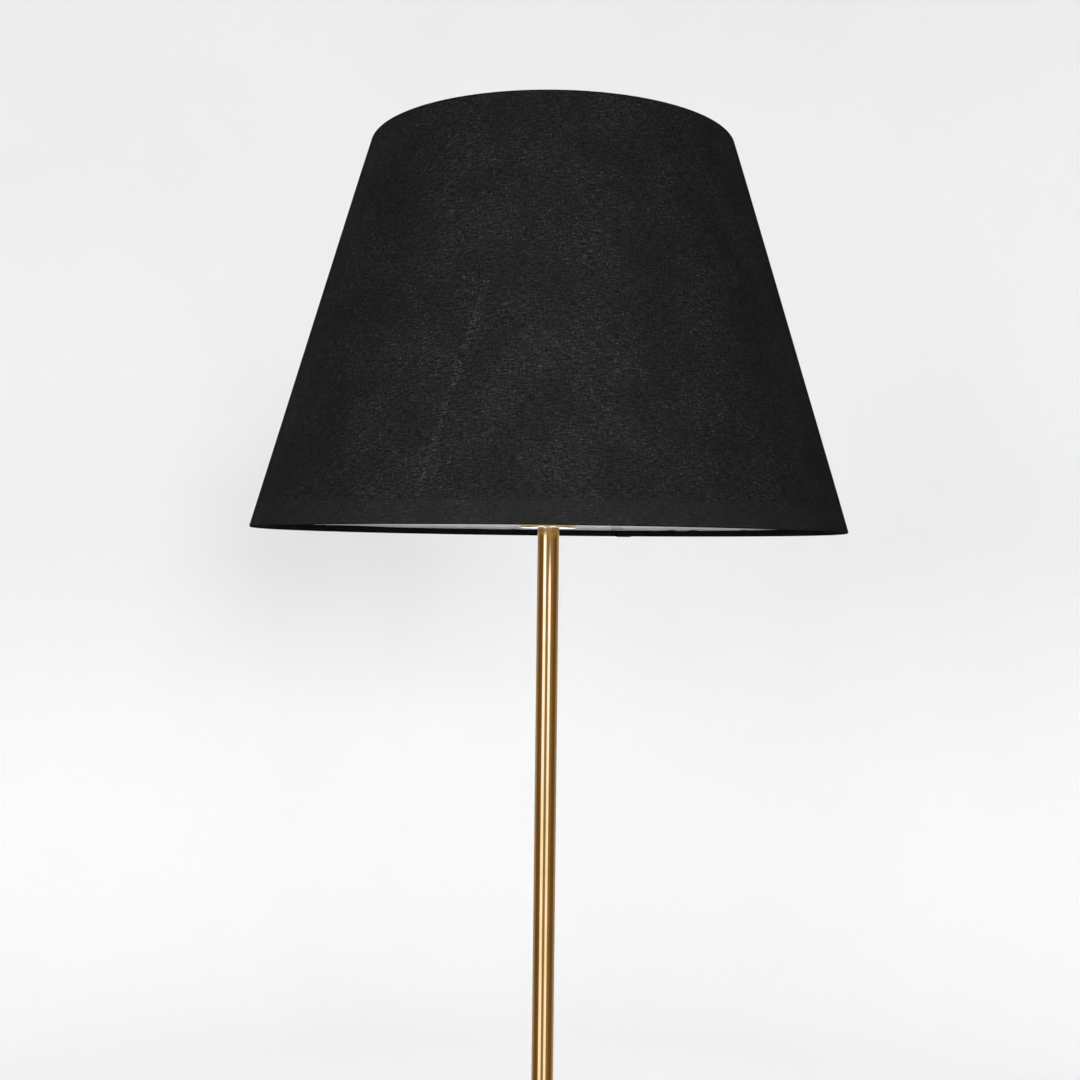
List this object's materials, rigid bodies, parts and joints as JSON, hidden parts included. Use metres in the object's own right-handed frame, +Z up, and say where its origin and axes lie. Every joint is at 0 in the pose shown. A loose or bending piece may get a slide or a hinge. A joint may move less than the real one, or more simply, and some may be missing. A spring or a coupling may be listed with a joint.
{
  "type": "tripod floor lamp",
  "caption": "Tripod floor lamp: a slim brass stem on splayed legs, with a turn-key lampholder, a harp and a tapered black fabric shade.",
  "frame": {"origin": "on the floor, under the stem's axis and in the middle of the feet", "axes": "+Z up along the stem, +X to the lamp's right, -Y to the front, where the switch key points"},
  "size_m": [0.43, 0.4298, 1.5398],
  "materials": {
    "shade_fabric": "plain woven cotton, matt",
    "shade_lining": "white laminated lining",
    "shade_wire": "brass-plated wire",
    "stem_brass": "polished brass with a soft lengthwise brush",
    "base_brass": "polished turned brass",
    "harp_brass": "satin brass",
    "holder_brass": "satin brass shell",
    "inner_brass": "plain machined brass",
    "zinc_steel": "zinc-plated steel",
    "insulator": "grey-brown fibre sleeve",
    "moulded_black": "moulded black resin",
    "cord_sheath": "black flexible sheath",
    "core_insulation": "core insulation",
    "foot_rubber": "matt black rubber",
    "bulb_opal": "opal globe",
    "bulb_shell": "white moulded body",
    "bulb_metal": "rolled screw cap"
  },
  "bodies": {
    "stand": {"harp": "harp_brass", "harp_stud": "harp_brass", "harp_saddle": "harp_brass", "holder_cap": "holder_brass", "holder_shell": "holder_brass", "holder_insulator": "insulator", "holder_body": "moulded_black", "holder_screw_shell": "zinc_steel", "holder_contact": "inner_brass", "switch_bushing": "holder_brass", "stem_cap_disc": "stem_brass", "stem_upper_tube": "stem_brass", "stem_lower_tube": "stem_brass", "stem_joint_ring": "stem_brass", "stem_joint_nipple": "inner_brass", "stem_joint_upper_plug": "inner_brass", "stem_joint_lower_plug": "inner_brass", "stem_top_plug": "inner_brass", "stem_top_nipple": "inner_brass", "stem_base_plug": "inner_brass", "inner_lead": "cord_sheath", "lead_cores": "core_insulation", "hub": "base_brass", "hub_grub_screw": "zinc_steel", "base_nipple": "inner_brass", "base_washer": "zinc_steel", "base_nut": "zinc_steel", "cord_outlet": "moulded_black", "leg_ferrules": "base_brass", "leg_studs": "zinc_steel", "leg_back": "base_brass", "leg_left": "base_brass", "leg_right": "base_brass", "foot_back": "foot_rubber", "foot_left": "foot_rubber", "foot_right": "foot_rubber"},
    "shade": {"shade_cover": "shade_fabric", "shade_liner": "shade_lining", "shade_top_ring": "shade_wire", "shade_bottom_ring": "shade_wire", "shade_washer": "shade_wire", "shade_arms": "shade_wire"},
    "finial": {"finial": "harp_brass"},
    "bulb": {"bulb_tip": "moulded_black", "bulb_screw_cap": "bulb_metal", "bulb_body": "bulb_shell", "bulb_globe": "bulb_opal"},
    "switch_knob": {"switch_shaft": "zinc_steel", "switch_key": "moulded_black"},
    "sleeve_left": {"harp_sleeve_left": "harp_brass"},
    "sleeve_right": {"harp_sleeve_right": "harp_brass"}
  },
  "joints": [
    {"name": "shade_turn", "type": "hinge", "parent": "stand", "child": "shade", "pos_m": [0, 0, 1.516], "axis": [0, 0, 1], "continuous": true},
    {"name": "finial_turn", "type": "hinge", "parent": "stand", "child": "finial", "pos_m": [0, 0, 1.522], "axis": [0, 0, 1], "continuous": true},
    {"name": "bulb_lift", "type": "slide", "parent": "stand", "child": "bulb", "axis": [0, 0, 1], "range_m": [0, 0.028]},
    {"name": "switch_turn", "type": "hinge", "parent": "stand", "child": "switch_knob", "pos_m": [0, -0.02, 1.283], "axis": [0, -1, 0], "continuous": true},
    {"name": "sleeve_left_lift", "type": "slide", "parent": "stand", "child": "sleeve_left", "axis": [0, 0, 1], "range_m": [0, 0.0125]},
    {"name": "sleeve_right_lift", "type": "slide", "parent": "stand", "child": "sleeve_right", "axis": [0, 0, 1], "range_m": [0, 0.0125]}
  ]
}
